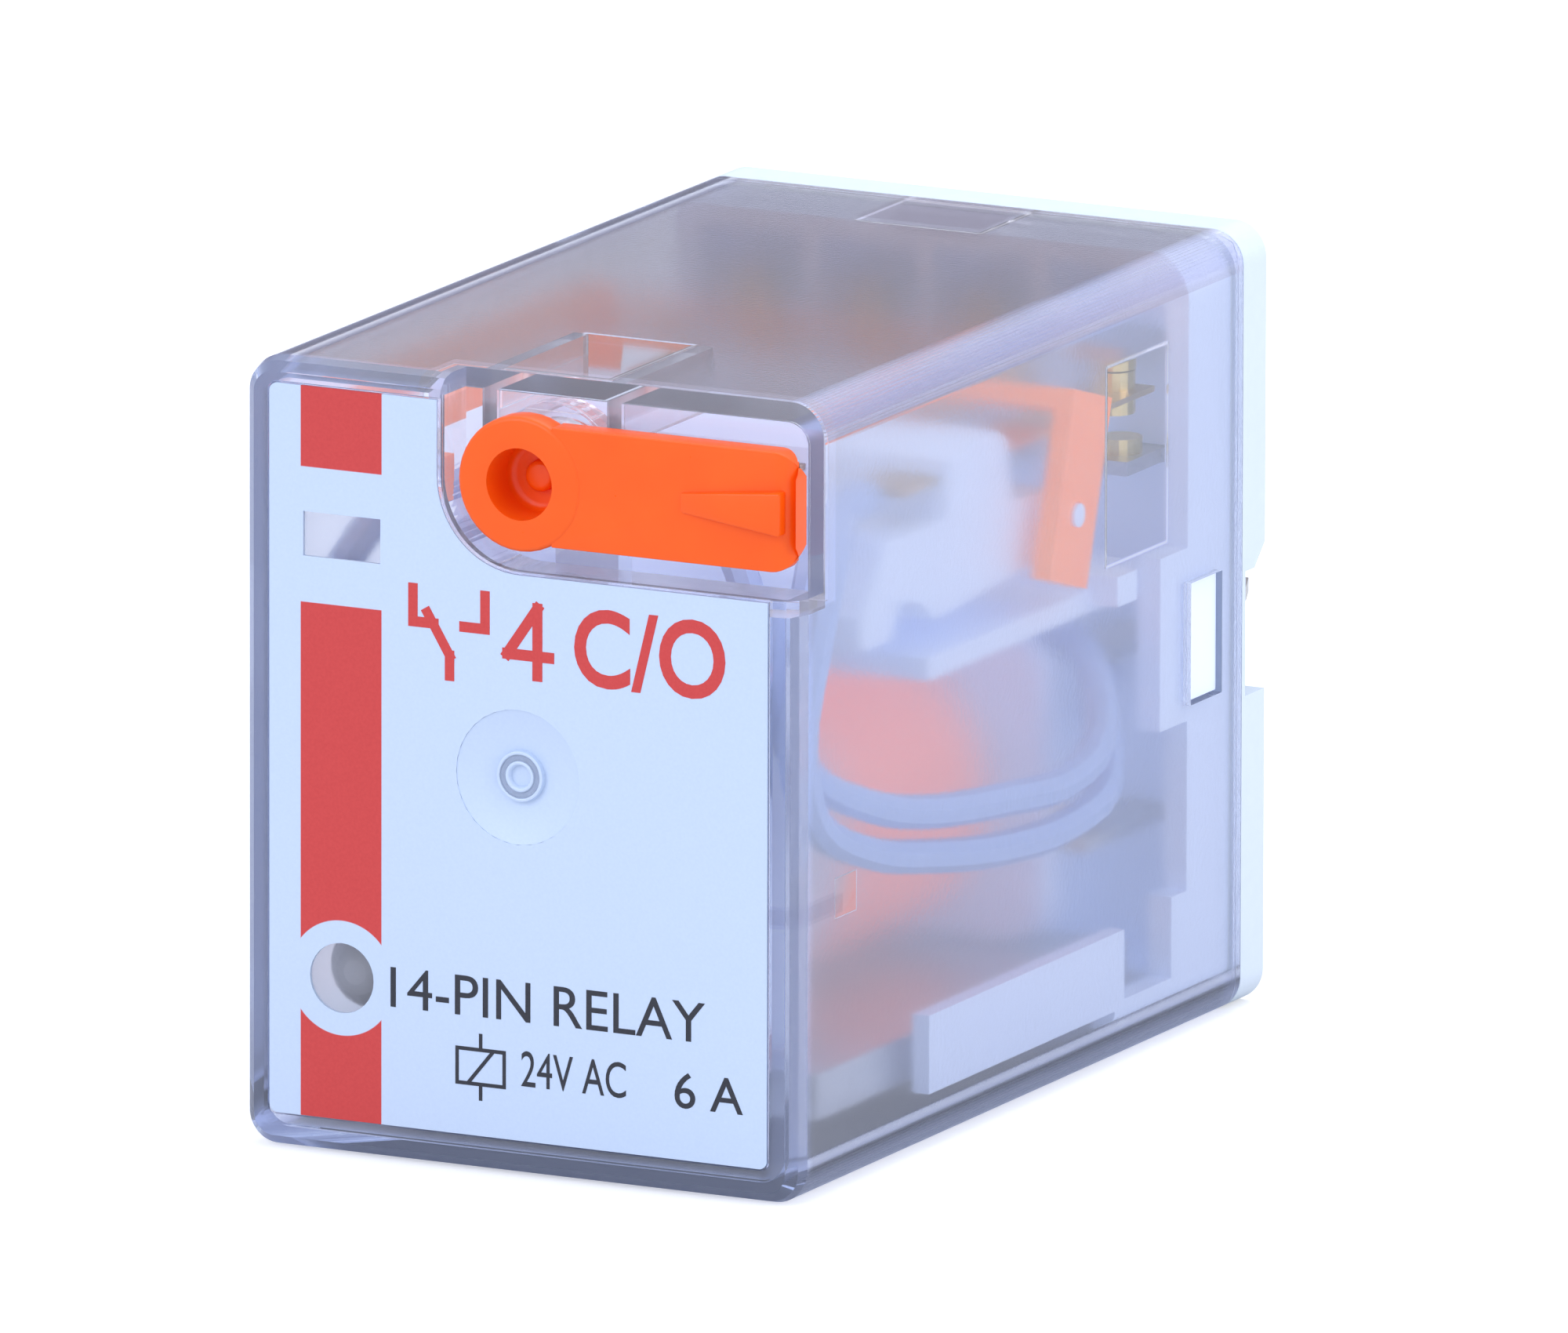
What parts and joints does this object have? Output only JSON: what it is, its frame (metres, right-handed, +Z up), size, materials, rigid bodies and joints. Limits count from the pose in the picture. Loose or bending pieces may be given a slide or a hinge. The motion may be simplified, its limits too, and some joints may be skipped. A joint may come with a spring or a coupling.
{
  "type": "industrial control relay",
  "caption": "Miniature plug-in relay with blade pins, a clear clip-on cover over its coil and contacts, a printed front label and a turnable test lever.",
  "frame": {"origin": "centre of the part's box in plan, at the level of the narrow side that it stands on", "axes": "+Z up from the narrow side it stands on, +Y towards the plug blades, -Y towards the front label, +X to the right seen from the front"},
  "size_m": [0.0212, 0.0414, 0.0275],
  "materials": {
    "clear_shell": "clear, frosted inside",
    "label_paper": "printed satin film",
    "white_moulding": "satin",
    "orange_moulding": "glossy",
    "soft_iron": "plated",
    "blade_metal": "tinned",
    "spring_bronze": "rolled",
    "contact_gold": "gold flashed",
    "bare_copper": "drawn",
    "coil_tape": "taped",
    "wire_jacket": "satin",
    "circuit_board": "solder resist",
    "led_lens": "clear tinted"
  },
  "bodies": {
    "housing": {"cover": "clear_shell", "front_label": "label_paper", "base": "white_moulding", "armature_spring": "spring_bronze", "yoke": "soft_iron", "core": "soft_iron", "shading_ring": "bare_copper", "bobbin": "white_moulding", "coil_winding": "coil_tape", "insulating_plate": "white_moulding", "led": "led_lens", "led_board": "circuit_board", "nc_terminal_1": "blade_metal", "nc_contact_1": "contact_gold", "no_terminal_1": "blade_metal", "no_contact_1": "contact_gold", "com_terminal_1": "blade_metal", "pigtail_1": "wire_jacket", "nc_terminal_2": "blade_metal", "nc_contact_2": "contact_gold", "no_terminal_2": "blade_metal", "no_contact_2": "contact_gold", "com_terminal_2": "blade_metal", "pigtail_2": "wire_jacket", "nc_terminal_3": "blade_metal", "nc_contact_3": "contact_gold", "no_terminal_3": "blade_metal", "no_contact_3": "contact_gold", "com_terminal_3": "blade_metal", "pigtail_3": "wire_jacket", "nc_terminal_4": "blade_metal", "nc_contact_4": "contact_gold", "no_terminal_4": "blade_metal", "no_contact_4": "contact_gold", "com_terminal_4": "blade_metal", "pigtail_4": "wire_jacket", "coil_terminal_left": "blade_metal", "coil_lead_left": "bare_copper", "coil_terminal_right": "blade_metal", "coil_lead_right": "bare_copper"},
    "armature_assembly": {"armature": "soft_iron", "contact_carrier": "white_moulding", "moving_spring_1": "spring_bronze", "moving_spring_2": "spring_bronze", "moving_spring_3": "spring_bronze", "moving_spring_4": "spring_bronze", "moving_contact_1": "contact_gold", "moving_contact_2": "contact_gold", "moving_contact_3": "contact_gold", "moving_contact_4": "contact_gold"},
    "indicator_frame": {"indicator": "orange_moulding"},
    "plunger": {"test_plunger": "orange_moulding"},
    "lever": {"test_lever": "orange_moulding"}
  },
  "joints": [
    {"name": "armature_swing", "type": "hinge", "parent": "housing", "child": "armature_assembly", "pos_m": [0, -0.01593, 0.0028], "axis": [-1, 0, 0], "range_deg": [0, 1.9], "stiffness_Nm_per_rad": 0.05, "springref_deg": -1.15},
    {"name": "indicator_tilt", "type": "hinge", "parent": "armature_assembly", "child": "indicator_frame", "pos_m": [0, 0.00208, 0.0197], "axis": [1, 0, 0], "range_deg": [0, 4.88]},
    {"name": "test_button_press", "type": "slide", "parent": "housing", "child": "plunger", "axis": [0, 1, 0], "range_m": [0, 0.0007]},
    {"name": "test_lever_turn", "type": "hinge", "parent": "plunger", "child": "lever", "pos_m": [0.00005, -0.01932, 0.0241], "axis": [0, -1, 0], "range_deg": [0, 90]}
  ],
  "couplings": [
    {"joint": "test_button_press", "follows": "armature_swing", "m_per_rad": 0.0211},
    {"joint": "indicator_tilt", "follows": "armature_swing", "ratio": 2.56}
  ]
}
